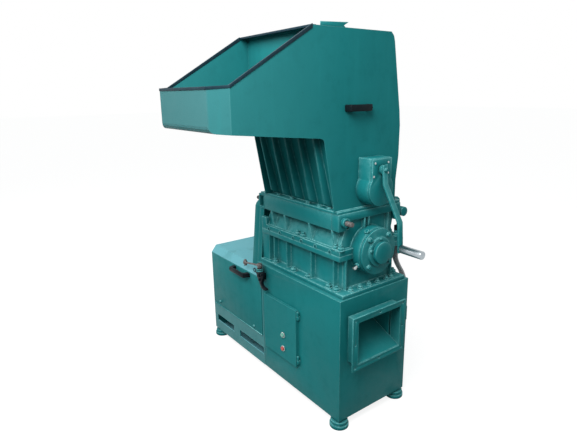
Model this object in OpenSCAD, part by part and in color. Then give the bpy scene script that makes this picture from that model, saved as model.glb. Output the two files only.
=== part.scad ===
// Plastic granulator: floor-standing machine with a tilting gooseneck hopper,
// a bolted cutting chamber, a sheet base cabinet and an end discharge chute.
// X runs along the rotor, +X at the bearing and chute end, -Y is the feeding side,
// +Z is up. The origin is on the floor under the middle of the whole machine's box.
// The working sizes are measured from the middle of the base and from the rotor axis,
// and place() sets them out from the origin.

/* [Base cabinet] */
// length of the base along the rotor
base_l = 1200; // [1100:10:1300]
// depth of the base from front to back
base_w = 450; // [430:5:520]
// height of the cabinet top under the cutting chamber
base_top = 655; // [640:5:700]
// height of the lower top over the motor compartment
motor_top = 607; // [590:1:620]
// clearance from the floor to the cabinet bottom
foot_h = 45; // [40:1:70]
// radius of the levelling foot pads
foot_r = 46; // [36:1:60]
// thickness of the cabinet sheet
sheet = 5; // [3:0.5:6]
// place of the joint between motor compartment and main cabinet
split_x = -15; // [-20:1:0]
// height of the lower edge of the removable motor panel
panel_z0 = 224; // [200:1:240]

/* [Cutting chamber] */
// height of the rotor axis above the floor
rotor_z = 841; // [835:1:850]
// half depth of the chamber flanges
flange_y = 191; // [185:1:200]
// left end of the chamber flanges
chamber_x0 = -57; // [-60:1:-50]
// right end of the chamber flanges
chamber_x1 = 554; // [545:1:560]
// thickness of each half of the middle flange
flange_t = 25; // [20:1:28]
// underside of the heavy top frame
frame_z0 = 953; // [945:1:960]
// top of the heavy top frame
frame_z1 = 1030; // [1020:1:1034]
// radius of the round bearing housing
plate_r = 110; // [100:1:120]

/* [Hopper] */
// left side of the hopper
hop_x0 = 10; // [0:1:14]
// right side of the hopper
hop_x1 = 538; // [530:1:540]
// how far the mouth reaches forward of the rotor axis
mouth_y = 752; // [700:2:800]
// height of the top sheet
hop_top = 1783; // [1760:1:1800]
// height of the front lip
lip_z = 1560; // [1540:1:1580]
// thickness of the hopper sheet
hop_t = 4; // [3:0.5:5]
// size of the cut across the two front corners
corner = 60; // [40:1:80]
// spacing of the stiffening ribs on the neck
rib_pitch = 100; // [80:1:104]

/* [Hopper hinge and crank] */
// distance of the hinge pin behind the rotor axis
pin_y = 241; // [238:1:250]
// height of the hinge pin
pin_z = 975; // [970:1:985]
// radius of the hinge pin
pin_r = 11; // [8:0.5:13]
// depth position of the crank shaft
crank_y = -14; // [-20:1:0]
// height of the crank shaft
crank_z = 1216; // [1205:1:1225]
// length of the crank arm between shaft and grip
crank_l = 337; // [320:1:350]
// angle of the parked crank from straight down
crank_a = 4.6; // [0:0.1:10]

/* [Discharge chute] */
// reach of the chute from the end of the base
chute_l = 60; // [50:1:120]
// slope of the slide inside the chute
slide_a = 25.4; // [22:0.1:27]
// radius of the bolt holes in the chute rim
rim_hole_r = 5; // [4:0.5:6]

/* [Control door] */
// left edge of the control door
door_x0 = 17; // [10:1:30]
// right edge of the control door
door_x1 = 296; // [280:1:300]
// bottom of the control door
door_z0 = 190; // [180:1:200]
// top of the control door
door_z1 = 500; // [480:1:520]
// depth of the folded door
door_t = 15; // [12:1:18]

/* [Hidden] */

$fn = 64;
gap = 0.3;
paint = [0.14, 0.47, 0.47];
paint_light = [0.30, 0.58, 0.60];
dark = [0.10, 0.12, 0.13];
rubber = [0.16, 0.21, 0.25];
steel = [0.72, 0.74, 0.76];
rust = [0.42, 0.30, 0.26];
grey = [0.55, 0.55, 0.56];
shift_x = -111;
shift_y = 246.5;

hl = base_l / 2;
hw = base_w / 2;

// motor compartment: slanted upper edges of the hood
slant_y = 33;
slant_z = 40;

// cutting chamber: outer face of the long walls, wall and end plate thickness
wall_y = 155;
wall_t = 24;
end_x0 = -31;
end_x1 = 534;
end_t = 26;
rib_x = [35, 146, 340, 500];
shaft_r = 32;
// end bars of the top frame are shallower between their ears
bar = 50;
ear_z = 994;
frame_x0 = -70;
frame_x1 = 553;
frame_y = 197;
lock_y = -167;

// belt guard at the driven end
guard_x0 = -160;
guard_x1 = -100;
guard_r = 45;
guard_top = 975;
guard_y = 120;
guard_foot = 195;

// discharge chute: opening, duct and rim as [low y, high y, low z, high z]
mouth = [-169, 105, 357, 562];
duct = [-176, 112, 350, 572];
rim = [-203, 137, 329, 589];
rim_t = 6;

// hopper hinge: middle planes of the two hinges along X
hinge_x = [58, 490];

// side outline of the hopper, as [depth, height], anticlockwise from the front bottom
floor_fall = 0.0947;
floor_z = 1403;
neck_y0 = -247;
neck_y1 = -162;
hop_base = 1042.3;
hop_outline = [[-mouth_y, floor_z],
               [neck_y0, floor_z - (mouth_y + neck_y0) * floor_fall],
               [neck_y1, hop_base],
               [171, hop_base], [171, 1140], [184, 1250], [185, 1390], [178, 1456],
               [130, 1745], [123, 1767], [107, hop_top],
               [-328, hop_top], [-mouth_y + corner, lip_z + 5], [-mouth_y, lip_z]];
hop_mx = (hop_x0 + hop_x1) / 2;
// fold between the front sheet and the floor sheet
fold_r = 25;
fold_a = atan(floor_fall);
fold_z = floor_z - floor_fall * fold_r * (1 - sin(fold_a)) + fold_r * cos(fold_a);
front_fold = [for (k = [0 : 4]) let (a = 180 + k * (90 - fold_a) / 4)
    [-mouth_y + fold_r + fold_r * cos(a), fold_z + fold_r * sin(a)]];

// moves every side of an anticlockwise outline inwards by d
function inset(p, d) = [for (i = [0 : len(p) - 1])
    let (a = p[(i + len(p) - 1) % len(p)], b = p[i], c = p[(i + 1) % len(p)],
         u = (b - a) / norm(b - a), v = (c - b) / norm(c - b),
         m = [-u[1] - v[1], u[0] + v[0]])
    b + m * d / (1 + u * v)];

// strip of sheet that follows an outline from corner i to corner j
function strip(p, i, j, d) = let (q = inset(p, d))
    concat([for (k = [i : j]) p[k]], [for (k = [j : -1 : i]) q[k]]);

// hopper plan with cut front corners, moved inwards by d
function plan(d) = let (c = corner - 0.586 * d)
    [[hop_x0 + d, 300], [hop_x0 + d, -mouth_y + d + c], [hop_x0 + d + c, -mouth_y + d],
     [hop_x1 - d - c, -mouth_y + d], [hop_x1 - d, -mouth_y + d + c], [hop_x1 - d, 300]];

// from the middle of the base and the rotor axis to the origin
module place() {
    translate([shift_x, shift_y, 0])
        children();
}

// a side outline given in depth and height, carried along X
module along_x(x0, x1) {
    translate([x0, 0, 0])
        rotate([90, 0, 90])
            linear_extrude(height = x1 - x0)
                children();
}

// a front outline given in length and height, carried along Y
module along_y(y0, y1) {
    translate([0, y1, 0])
        rotate([90, 0, 0])
            linear_extrude(height = y1 - y0)
                children();
}

module rod_x(x0, x1, y, z, r) {
    translate([x0, y, z])
        rotate([0, 90, 0])
            cylinder(h = x1 - x0, r = r);
}

module rod_y(y0, y1, x, z, r) {
    translate([x, y1, z])
        rotate([90, 0, 0])
            cylinder(h = y1 - y0, r = r);
}

module block(x0, x1, y0, y1, z0, z1) {
    translate([x0, y0, z0])
        cube([x1 - x0, y1 - y0, z1 - z0]);
}

// the same piece at the front and, turned over, at the back
module front_and_back() {
    children();
    mirror([0, 1, 0])
        children();
}

// round levelling pads with a stepped rubber disc
module foot_pads() {
    inset_xy = 32;
    place() color(dark)
        for (sx = [-1, 1], sy = [-1, 1])
            translate([sx * (hl - inset_xy), sy * (hw - inset_xy), 0]) {
                cylinder(h = 18, r = foot_r);
                translate([0, 0, 18])
                    cylinder(h = 4, r = foot_r - 10);
                translate([0, 0, 22])
                    cylinder(h = 13, r = foot_r - 5);
                translate([0, 0, 35])
                    cylinder(h = foot_h - 35, r = 12);
            }
}

// main cabinet under the chamber; its deck reaches over the motor hood
module base_cabinet() {
    place() color(paint) {
        difference() {
            along_y(-hw, hw)
                polygon([[split_x, foot_h], [hl, foot_h], [hl, base_top], [-60, base_top],
                         [-60, motor_top + gap], [split_x, motor_top + gap]]);
            block(split_x + sheet, hl - sheet, -hw + sheet, hw - sheet,
                  foot_h + sheet, base_top - 12);
            // fall opening under the chamber
            block(60, 480, -125, 105, base_top - 20, base_top + 1);
            // way into the chute
            block(hl - 10, hl + 1, duct[0] + 3, duct[1] - 3, duct[2] + 3, duct[3] - 3);
            // opening behind the control door
            block(door_x0 + 15, door_x1 - 15, -hw - 1, -hw + 10, door_z0 + 15, door_z1 - 15);
        }
        // box for the switchgear behind that opening
        difference() {
            block(door_x0 + 10, door_x1 - 10, -hw + sheet, -hw + 110, door_z0 + 10, door_z1 - 10);
            block(door_x0 + 15, door_x1 - 15, -hw, -hw + 107, door_z0 + 15, door_z1 - 15);
        }
    }
}

// low hood over the motor, with two long air slots in its lower band
module motor_compartment() {
    hood = [[-hw, foot_h], [hw, foot_h], [hw, motor_top - slant_z], [hw - slant_y, motor_top],
            [-hw + slant_y, motor_top], [-hw, motor_top - slant_z]];
    slots = [[-564, -359], [-286, -24]];
    place() color(paint)
        difference() {
            along_x(-hl, split_x - gap)
                polygon(hood);
            along_x(-hl + sheet, split_x - gap - sheet)
                polygon(inset(hood, sheet));
            for (s = slots)
                front_and_back()
                    block(s[0], s[1], -hw - 1, -hw + 10, 106, 149);
        }
}

// removable front panel of the motor compartment
module motor_access_panel() {
    place() color(paint)
        block(-hl + 8, -30, -hw - 3 - gap, -hw - gap, panel_z0, motor_top - slant_z - 2);
}

// black bridge handle of that panel
module access_panel_handle() {
    z0 = 538;
    place() color(dark)
        along_y_handle(-316, -138, -hw - 3 - 2 * gap, z0, 26, 40);
}

// bridge handle seen from above: two feet and a bar, drawn out towards -Y
module along_y_handle(x0, x1, y, z, h, reach) {
    translate([0, 0, z])
        linear_extrude(height = h)
            polygon([[x0, y], [x0 + 26, y], [x0 + 34, y - reach + 12],
                     [x1 - 34, y - reach + 12], [x1 - 26, y], [x1, y],
                     [x1 - 12, y - reach], [x0 + 12, y - reach]]);
}

// sheet duct on the end of the cabinet with a flat bolting rim
module discharge_chute() {
    rim_x = hl + chute_l - rim_t;
    place() color(paint)
        difference() {
            union() {
                block(hl + gap, rim_x, duct[0], duct[1], duct[2], duct[3]);
                block(rim_x, rim_x + rim_t, rim[0], rim[1], rim[2], rim[3]);
            }
            block(hl - 1, rim_x, duct[0] + 3, duct[1] - 3, duct[2] + 3, duct[3] - 3);
            block(rim_x - 1, rim_x + rim_t + 1, mouth[0], mouth[1], mouth[2], mouth[3]);
            // eight holes round the rim
            for (y = [-187, -33, 121], z = [343.5, 459.5, 575.5])
                if (y != -33 || z != 459.5)
                    rod_x(rim_x - 1, rim_x + rim_t + 1, y, z, rim_hole_r);
        }
}

// sloping slide that carries the granulate from the chamber to the chute
module discharge_slide() {
    x_low = hl + chute_l - rim_t - 1;
    z_low = mouth[2];
    x_top = x_low - (base_top - 14 - z_low) / tan(slide_a);
    place() color(paint) {
        along_y(duct[0] + 4, duct[1] - 4)
            polygon([[x_low, z_low], [x_low, z_low - 3.3], [x_top, base_top - 17.3],
                     [x_top, base_top - 14]]);
        for (y = [duct[0] + 4, duct[1] - 7])
            along_y(y, y + 3)
                polygon([[x_top + 2, base_top - 15], [hl - 8, z_low + (x_low - hl + 8) * tan(slide_a)],
                         [hl - 8, base_top - 14]]);
    }
}

// lower half of the chamber: ribbed walls between two flanges
module lower_chamber() {
    z0 = base_top + gap;
    z1 = rotor_z - gap / 2;
    ft = 18;
    place() color(paint)
        difference() {
            union() {
                block(chamber_x0 + 2, 592, -203, 203, z0, z0 + ft);
                front_and_back() {
                    block(end_x0, end_x1, -wall_y, -wall_y + wall_t, z0 + ft, z1);
                    // wide pad at the driven end
                    block(chamber_x0, 5, -187, -wall_y, z0 + ft, z1 - flange_t);
                    // flat bar ribs on the long walls
                    for (x = rib_x)
                        block(x, x + 8, -182, -wall_y, z0 + ft, z1 - flange_t);
                    // flat bar ribs on the bearing end
                    block(end_x1, end_x1 + 20, -152, -144, z0 + ft, z1 - flange_t);
                }
                for (x = [end_x0, end_x1 - end_t])
                    block(x, x + end_t, -wall_y, wall_y, z0 + ft, z1);
                block(chamber_x0, chamber_x1, -flange_y, flange_y, z1 - flange_t, z1);
            }
            block(end_x0 + end_t, end_x1 - end_t, -wall_y + wall_t, wall_y - wall_t,
                  z0 + ft, z1 + 1);
            block(60, 480, -125, 105, z0 - 1, z0 + ft + 1);
            // seats of the round bearing plates and the shaft
            rod_x(end_x1, 700, 0, rotor_z, plate_r + gap);
            rod_x(-200, end_x0, 0, rotor_z, plate_r + gap);
            rod_x(-200, 700, 0, rotor_z, shaft_r + 6);
        }
}

// upper half: walls lean in towards the frame, with gusset plates outside them
module upper_chamber() {
    z0 = rotor_z + gap / 2;
    foot = 175;
    head = 142;
    z_head = frame_z0 - gap;
    // the end plates run straight up at the back
    end_y = 158;
    place() color(paint)
        difference() {
            union() {
                block(chamber_x0, chamber_x1, -flange_y, flange_y, z0, z0 + flange_t);
                front_and_back() {
                    along_x(end_x0, end_x1)
                        polygon([[-foot, z0 + flange_t], [-head, z_head],
                                 [-head + wall_t, z_head], [-foot + wall_t, z0 + flange_t]]);
                    for (x = rib_x)
                        along_x(x, x + 10)
                            polygon([[-foot - 2, z0 + flange_t], [-frame_y + 2, z_head],
                                     [-head, z_head], [-foot, z0 + flange_t]]);
                }
                for (p = [[end_x0, head - wall_t, head - wall_t], [end_x1 - end_t, 149, 157.5]])
                    along_x(p[0], p[0] + end_t)
                        polygon([[-foot, z0 + flange_t], [-head, z_head],
                                 [-head + wall_t, z_head], [-head + wall_t, ear_z - gap],
                                 [p[1], ear_z - gap], [p[2], z_head],
                                 [end_y, z_head], [end_y, z0 + flange_t]]);
                front_and_back()
                    block(chamber_x0, end_x0 + 16, -flange_y, -foot + 4, z0 + flange_t - 1, 905);
                // short ribs over the bearing housing
                for (y = [-35, -9, 116])
                    block(end_x1 - 1, frame_x1 - 2, y - 4, y + 4, z0 + flange_t, ear_z - gap);
            }
            block(end_x0 + end_t, end_x1 - end_t, -foot + wall_t, foot - wall_t,
                  z0 - 1, z0 + flange_t);
            rod_x(end_x1, 700, 0, rotor_z, plate_r + gap);
            rod_x(-200, end_x0, 0, rotor_z, plate_r + gap);
            rod_x(-200, 700, 0, rotor_z, shaft_r + 6);
        }
}

// long beams of the frame that carries the hopper
module frame_long_beams() {
    place() color(paint)
        front_and_back()
            block(frame_x0 + bar, frame_x1 - bar, -frame_y, -frame_y + bar, frame_z0, frame_z1);
}

// end bars of that frame, deeper where they carry the lock bosses
module frame_end_bars() {
    place() color(paint)
        difference() {
            for (b = [[frame_x0, 119], [frame_x1 - bar, 150]])
                along_x(b[0], b[0] + bar)
                    polygon([[-frame_y, frame_z0], [-158, frame_z0], [-119, ear_z], [b[1], ear_z],
                             [158, frame_z0], [frame_y, frame_z0], [frame_y, frame_z1],
                             [-frame_y, frame_z1]]);
            // open pocket in both ends of the left bar
            front_and_back()
                block(frame_x0 + 10, frame_x0 + 42, -frame_y - 1, -frame_y + 60, frame_z0 + 10,
                      frame_z1 - 10);
        }
}

// shaft with three straight knife bars
module rotor() {
    place() color(steel) {
        rod_x(-85, 606, 0, rotor_z, shaft_r);
        difference() {
            union() {
                rod_x(2, 501, 0, rotor_z, 72);
                for (a = [30, 150, 270])
                    translate([4, 0, rotor_z])
                        rotate([a, 0, 0])
                            translate([0, -22, 50])
                                cube([495, 40, 62]);
            }
            rod_x(0, 510, 0, rotor_z, shaft_r);
        }
    }
}

// round bearing housings on both ends of the chamber
module bearing_plates() {
    place() color(paint)
        for (x = [[end_x1 + gap, 592], [-75, end_x0 - gap]])
            difference() {
                rod_x(x[0], x[1], 0, rotor_z, plate_r);
                rod_x(x[0] - 1, x[1] + 1, 0, rotor_z, shaft_r + 6);
            }
}

// stepped bearing housing on the free end
module bearing_flange() {
    place() color(paint)
        difference() {
            union() {
                rod_x(592 + gap, 606, 0, rotor_z, 107);
                rod_x(606, 616, 0, rotor_z, 68);
            }
            rod_x(590, 640, 0, rotor_z, shaft_r + 3);
        }
}

// round cap that closes it
module bearing_cap() {
    place() color(paint)
        rod_x(616 + gap, 637, 0, rotor_z, 51);
}

// side outline of the belt guard: flat top, round corners, sides that widen downwards
module guard_outline(d) {
    r = guard_r + d;
    w = guard_foot + d;
    z = motor_top + gap;
    // middle of the corner rounding and the point where it meets the side
    c = guard_top - guard_r;
    l = norm([w - guard_y, c - z]);
    a = atan2(c - z, guard_y - w) - asin(r / l);
    m = sqrt(l * l - r * r);
    for (y = [-guard_y, guard_y])
        translate([y, c])
            circle(r = r);
    polygon([[-w, z], [w, z], [w + m * cos(a), z + m * sin(a)], [guard_y, c + r],
             [-guard_y, c + r], [-w - m * cos(a), z + m * sin(a)]]);
}

// sheet cover over the belt drive
module belt_guard() {
    place() color(paint)
        difference() {
            along_x(guard_x0, guard_x1)
                guard_outline(0);
            along_x(guard_x0 + 3, guard_x1 + 1)
                difference() {
                    guard_outline(-3);
                    translate([-250, 0])
                        square([500, motor_top + 3 + gap]);
                }
        }
}

// mounting plate of the guard, standing a little proud of it, with turned in sides
module guard_back_plate() {
    place() color(paint) {
        along_x(guard_x1 + gap, guard_x1 + 10)
            guard_outline(9);
        along_x(guard_x1 + 9, -60.3)
            difference() {
                guard_outline(9);
                guard_outline(3);
                translate([-200, 945])
                    square([400, 60]);
            }
    }
}

// round bosses on the ends of the frame
module frame_lock_bosses() {
    place() color(paint)
        for (x = [[frame_x1 + gap, frame_x1 + 18], [frame_x0 - 18, frame_x0 - gap]])
            difference() {
                rod_x(x[0], x[1], lock_y, ear_z, 21);
                rod_x(x[0] - 1, x[1] + 1, lock_y, ear_z, 11 + gap);
            }
}

// threaded studs in those bosses
module frame_lock_studs() {
    place() color(rust) {
        rod_x(frame_x1 + gap, frame_x1 + 55, lock_y, ear_z, 11);
        rod_x(frame_x0 - 55, frame_x0 - gap, lock_y, ear_z, 11);
    }
}

// black clamp that hangs at the front left corner of the chamber
clamp_x = 2;
clamp_y = -247;
clamp_top = 640;
module clamp_body() {
    place() color(dark) {
        along_y(clamp_y - 8, clamp_y + 8)
            polygon([[-32, 622], [-30, 608], [-25, 588], [-14, 573], [-4, 561], [2, 549], [12, 535],
                     [34, 527], [58, 531], [56, 540], [36, 541], [19, 550], [17, 560], [21, 574],
                     [31, 593], [34, 608], [33, 622]]);
        // pad that holds it off the cabinet
        block(-12, 20, clamp_y + 8, -hw - gap, 580, 612);
        translate([clamp_x - 8, clamp_y, 622])
            difference() {
                cylinder(h = clamp_top - 622, r = 14);
                translate([0, 0, 6])
                    cylinder(h = 20, r = 8.05);
            }
    }
}

// tommy bar with a ball end that turns in the head of the clamp
module clamp_lever() {
    x = clamp_x - 8;
    place() color(steel) {
        translate([x, clamp_y, 628 + gap])
            cylinder(h = 24, r = 8);
        translate([x, clamp_y, 641])
            cylinder(h = 22, r = 13);
        translate([x, clamp_y, 652])
            rotate([0, -9.2, 0]) {
                rod_x(-140, 18, 0, 0, 5);
                translate([-148, 0, 0])
                    sphere(r = 13);
            }
    }
}

// ears on the back beam that hold the hopper's hinge leaves between them
module hinge_lugs() {
    place() color(paint)
        difference() {
            union() {
                for (x = hinge_x, k = [-24, 8])
                    along_x(x + k, x + k + 16)
                        union() {
                            translate([pin_y, pin_z])
                                circle(r = 22);
                            translate([frame_y + gap, pin_z - 21])
                                square([pin_y - frame_y - gap, 42]);
                        }
                // closed bosses over the outer ends of the pins
                rod_x(hinge_x[0] - 51, hinge_x[0] - 20, pin_y, pin_z, 23);
                rod_x(hinge_x[1] + 20, hinge_x[1] + 51, pin_y, pin_z, 23);
            }
            for (x = hinge_x)
                rod_x(x - 30 - gap, x + 30 + gap, pin_y, pin_z, pin_r + 0.05);
        }
}

// hinge pins
module hinge_pins() {
    place() color(steel)
        {
            for (x = hinge_x)
                rod_x(x - 30, x + 30, pin_y, pin_z, pin_r);
            rod_x(hinge_x[0] + 24 + gap, hinge_x[0] + 32, pin_y, pin_z, 16);
            rod_x(hinge_x[1] - 32, hinge_x[1] - 24 - gap, pin_y, pin_z, 16);
        }
}

// safety switch whose plunger feels the closed hopper
module limit_switch() {
    place() color(dark) {
        block(520, 548, 196, 222, 852, 912);
        block(518, 558, 203, 221, 830, 852);
        translate([534, 209, 912])
            cylinder(h = 10, r = 8);
        translate([534, 209, 922])
            cylinder(h = frame_z1 - 4 - 922, r = 3.5);
    }
}

// three grey sleeves from the switch down to the back of the cabinet,
// as [sideways, backwards, height] from the first point of each
conduit_r = 5.5;
conduit_path = [[0, 0, 829.7], [0, 0, 814], [-5, 0, 797], [-14, 0, 777], [-19, 1, 756],
                [-17, 4, 735],
                [-9, 7.5, 714], [1, 11.5, 695], [11, 16.5, 676], [18, 20, 657],
                [23, 20.5, 638], [24, 20.5, 618], [23.5, 20.5, 598], [22, 20.5, 578],
                [19, 20.5, 558], [16, 20.5, 539], [13.5, 20.5, 520], [12, 20.5, 503],
                [12, 20.5, 487], [12, 20.5, 472]];
conduit_start = [[526, 212], [538, 212], [550, 212]];
conduit_sides = 12;

// tube swept along a path that runs mostly downwards
module tube(p, r) {
    n = len(p);
    rings = [for (i = [0 : n - 1])
        let (t = p[min(i + 1, n - 1)] - p[max(i - 1, 0)], d = t / norm(t),
             u = cross(d, [0, 1, 0]) / norm(cross(d, [0, 1, 0])), v = cross(d, u))
        for (k = [0 : conduit_sides - 1])
            p[i] + r * (cos(k * 360 / conduit_sides) * u + sin(k * 360 / conduit_sides) * v)];
    m = conduit_sides;
    polyhedron(rings, concat(
        [[for (k = [0 : m - 1]) k]],
        [for (i = [0 : n - 2], k = [0 : m - 1])
            [i * m + k, (i + 1) * m + k, (i + 1) * m + (k + 1) % m, i * m + (k + 1) % m]],
        [[for (k = [m - 1 : -1 : 0]) (n - 1) * m + k]]));
}

module control_conduits() {
    place() color(grey)
        for (s = conduit_start)
            tube([for (q = conduit_path) [s[0] + q[0], s[1] + q[1], q[2]]], conduit_r);
}

// small box on the back of the cabinet where the sleeves go in
module cable_entry() {
    end = conduit_path[len(conduit_path) - 1];
    place() color(paint)
        difference() {
            block(526, 586, hw + gap, hw + 20, 420, 495);
            for (s = conduit_start)
                translate([s[0] + end[0], s[1] + end[1], end[2] - 3])
                    cylinder(h = 40, r = conduit_r + 0.1);
        }
}

// two flat side sheets with the gooseneck outline
module hopper_side_sheets() {
    y0 = -mouth_y + corner;
    side = concat([[y0, floor_z - corner * floor_fall],
                   [-285, floor_z - (mouth_y - 285) * floor_fall], [-271, 1353], [-265, 1342],
                   [-209, hop_base]],
                  [for (i = [3 : 12]) hop_outline[i]]);
    place() color(paint)
        for (x = [hop_x0, hop_x1 - hop_t])
            along_x(x, x + hop_t)
                polygon(side);
}

// front sheet, folded round the two cut corners
module hopper_front_sheet() {
    place() color(paint)
        intersection() {
            linear_extrude(height = 2000)
                difference() {
                    polygon(plan(0));
                    polygon(plan(hop_t));
                    translate([-500, -mouth_y + corner])
                        square(1500);
                }
            along_x(-500, 1000)
                polygon(concat([[-mouth_y - 1, fold_z]], front_fold,
                               [[-mouth_y + corner, floor_z - corner * floor_fall],
                                [-mouth_y + corner, lip_z + 5], [-mouth_y, lip_z],
                                [-mouth_y - 1, lip_z]]));
        }
}

// sheet under the mouth, falling towards the neck
module hopper_floor_sheet() {
    place() color(paint)
        intersection() {
            along_x(hop_x0 + hop_t, hop_x1 - hop_t)
                polygon(strip(concat(front_fold, [for (i = [1 : 13]) hop_outline[i]]), 0, 5, hop_t));
            linear_extrude(height = 2000)
                polygon(plan(hop_t));
        }
}

// back of the hopper and its flat top as one folded sheet
module hopper_back_sheet() {
    place() color(paint)
        difference() {
            along_x(hop_x0 + hop_t, hop_x1 - hop_t)
                polygon(strip(concat([[neck_y1, hop_base - 20], [171, hop_base - 20]],
                                     [for (i = [4 : 11]) hop_outline[i]],
                                     [[-328, hop_top - 400]]), 1, 9, hop_t));
            block(0, 600, -500, 500, hop_base - 100, hop_base);
            block(0, 600, -500, -328, 1000, 1900);
        }
}

// set-back front wall of the neck
module neck_front_sheet() {
    p = hop_outline[1];
    place() color(paint)
        difference() {
            along_x(hop_x0 + hop_t, hop_x1 - hop_t)
                polygon(strip([hop_outline[0], p,
                               p + (hop_outline[2] - p) * 1.1, [171, hop_base - 40], [171, 1700]],
                              1, 2, hop_t));
            block(0, 600, -500, 500, hop_base - 100, hop_base);
        }
}

// five flat bar ribs that stiffen that wall
module neck_ribs() {
    // a hair clear of the sheet
    a = hop_outline[1] - [0.1, 0];
    b = hop_outline[2] - [0.1, 0];
    foot = b + (a - b) * 0.01;
    place() color(paint)
        for (i = [-2 : 2])
            along_x(hop_mx + i * rib_pitch - 4, hop_mx + i * rib_pitch + 4)
                polygon([a + [-30, 30 * floor_fall - 3], [-214, 1072], foot, a]);
}

// plate that hangs across the mouth and keeps chips from flying back
module hopper_baffle() {
    place() color(paint)
        block(hop_x0 + hop_t, hop_x1 - hop_t, -286, -282, 1580, hop_top - hop_t);
}

// rubber channel pushed over the edge of the mouth
module hopper_trim() {
    w = 2;
    h = 7;
    rim_line = [[-mouth_y - 20, lip_z], [-mouth_y, lip_z], [-mouth_y + corner, lip_z + 5],
                [-328, hop_top]];
    place() color(rubber) {
        difference() {
            intersection() {
                linear_extrude(height = 2000)
                    difference() {
                        polygon(plan(-w));
                        polygon(plan(hop_t + w));
                        translate([-500, -328 - gap])
                            square(1500);
                    }
                along_x(-500, 1000)
                    polygon([rim_line[0] + [0, -h], rim_line[1] + [0, -h], rim_line[2] + [2, -h],
                             rim_line[3] + [8, -h], rim_line[3] + [0, w + 2],
                             rim_line[2] + [-2, w], rim_line[0] + [0, w]]);
            }
            // the edge of the sheets sits in the channel
            intersection() {
                linear_extrude(height = 2000)
                    difference() {
                        polygon(plan(-gap));
                        polygon(plan(hop_t + gap));
                    }
                along_x(-500, 1000)
                    polygon([rim_line[0] + [0, -50], rim_line[0] + [0, gap], rim_line[1] + [0, gap],
                             rim_line[2] + [0, gap], rim_line[3] + [0, gap], rim_line[3] + [0, -90],
                             rim_line[2] + [0, -50]]);
            }
        }
        // across the edge of the top sheet
        difference() {
            block(hop_x0 + hop_t + gap, hop_x1 - hop_t - gap, -328 - w, -308, hop_top - hop_t - w,
                  hop_top + w);
            block(0, 600, -328 - gap, -300, hop_top - hop_t - gap, hop_top + gap);
            block(0, hop_x0 + hop_t + w + gap, -340, -328 + gap, 1700, 1900);
            block(hop_x1 - hop_t - w - gap, 600, -340, -328 + gap, 1700, 1900);
        }
    }
}

// flange plate under the hopper with the leaves of the two hinges
module hopper_flange() {
    z0 = frame_z1 + gap;
    z1 = hop_base;
    place() color(paint) {
        difference() {
            block(-45, 548, -200, frame_y, z0, z1);
            block(hop_x0 + hop_t, hop_x1 - hop_t, neck_y1 + hop_t + 2, 171 - hop_t - 2, z0 - 1, z1 + 1);
        }
        for (x = hinge_x)
            along_x(x - 7, x + 7)
                difference() {
                    union() {
                        translate([pin_y, pin_z])
                            circle(r = 22);
                        polygon([[frame_y, z0], [205, z0], [219, pin_z], [pin_y + 22, pin_z],
                                 [pin_y + 16, z1 - 12], [pin_y, z1], [frame_y, z1]]);
                    }
                    translate([pin_y, pin_z])
                        circle(r = pin_r + 0.05);
                }
    }
}

// black handle on the side of the hopper
module hopper_handle() {
    y0 = -160;
    y1 = -20;
    x = hop_x1 + gap;
    place() color(dark)
        translate([0, 0, 1460])
            linear_extrude(height = 28)
                polygon([[x, y0], [x, y0 + 22], [x + 24, y0 + 28], [x + 24, y1 - 28],
                         [x, y1 - 22], [x, y1], [x + 34, y1 - 10], [x + 34, y0 + 10]]);
}

// small plate welded on top of the side sheet
module hopper_top_lug() {
    z0 = hop_top + gap;
    place() color(paint_light)
        along_x(hop_x1 - hop_t, hop_x1)
            polygon([[-288, z0], [-160, z0], [-168, z0 + 6], [-143, z0 + 20], [-288, z0 + 14]]);
}

// keyhole outline of the gear case: square head over a round drum
drum_y = -12;
drum_z = 1128;
module gear_outline(d) {
    translate([drum_y, drum_z])
        circle(r = 75 - d);
    translate([-73 + d, drum_z])
        square([122 - 2 * d, 137 - d]);
}

module gear_housing() {
    place() color(paint)
        difference() {
            along_x(hop_x1 + gap, 610)
                gear_outline(0);
            rod_x(570, 620, crank_y, crank_z, 12);
        }
}

// cover plate of the gear case
module gear_cover() {
    place() color(paint)
        difference() {
            along_x(610, 620)
                gear_outline(2);
            rod_x(600, 630, crank_y, crank_z, 12);
        }
}

// cranked flat bar with its shaft and hub
module crank_arm() {
    t = 8;
    x0 = 634;
    x1 = 712;
    place() color(paint)
        translate([0, crank_y, crank_z])
            rotate([crank_a, 0, 0]) {
                rod_x(572, x0, 0, 0, 11.95);
                difference() {
                    rod_x(622, x0, 0, 0, 21);
                    rod_x(620, x0 + 1, 0, 0, 11.95);
                }
                along_y(-14, 14)
                    polygon([[x0, 22], [x0 + t, 22], [x0 + t, -61], [x1 + t, -219],
                             [x1 + t, -crank_l - 18], [x1, -crank_l - 18], [x1, -222],
                             [x0, -64]]);
            }
}

// steel tube grip
module crank_grip() {
    place() color(steel)
        translate([0, crank_y, crank_z])
            rotate([crank_a, 0, 0])
                rod_x(720 + gap, 836, 0, -crank_l, 18);
}

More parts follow.
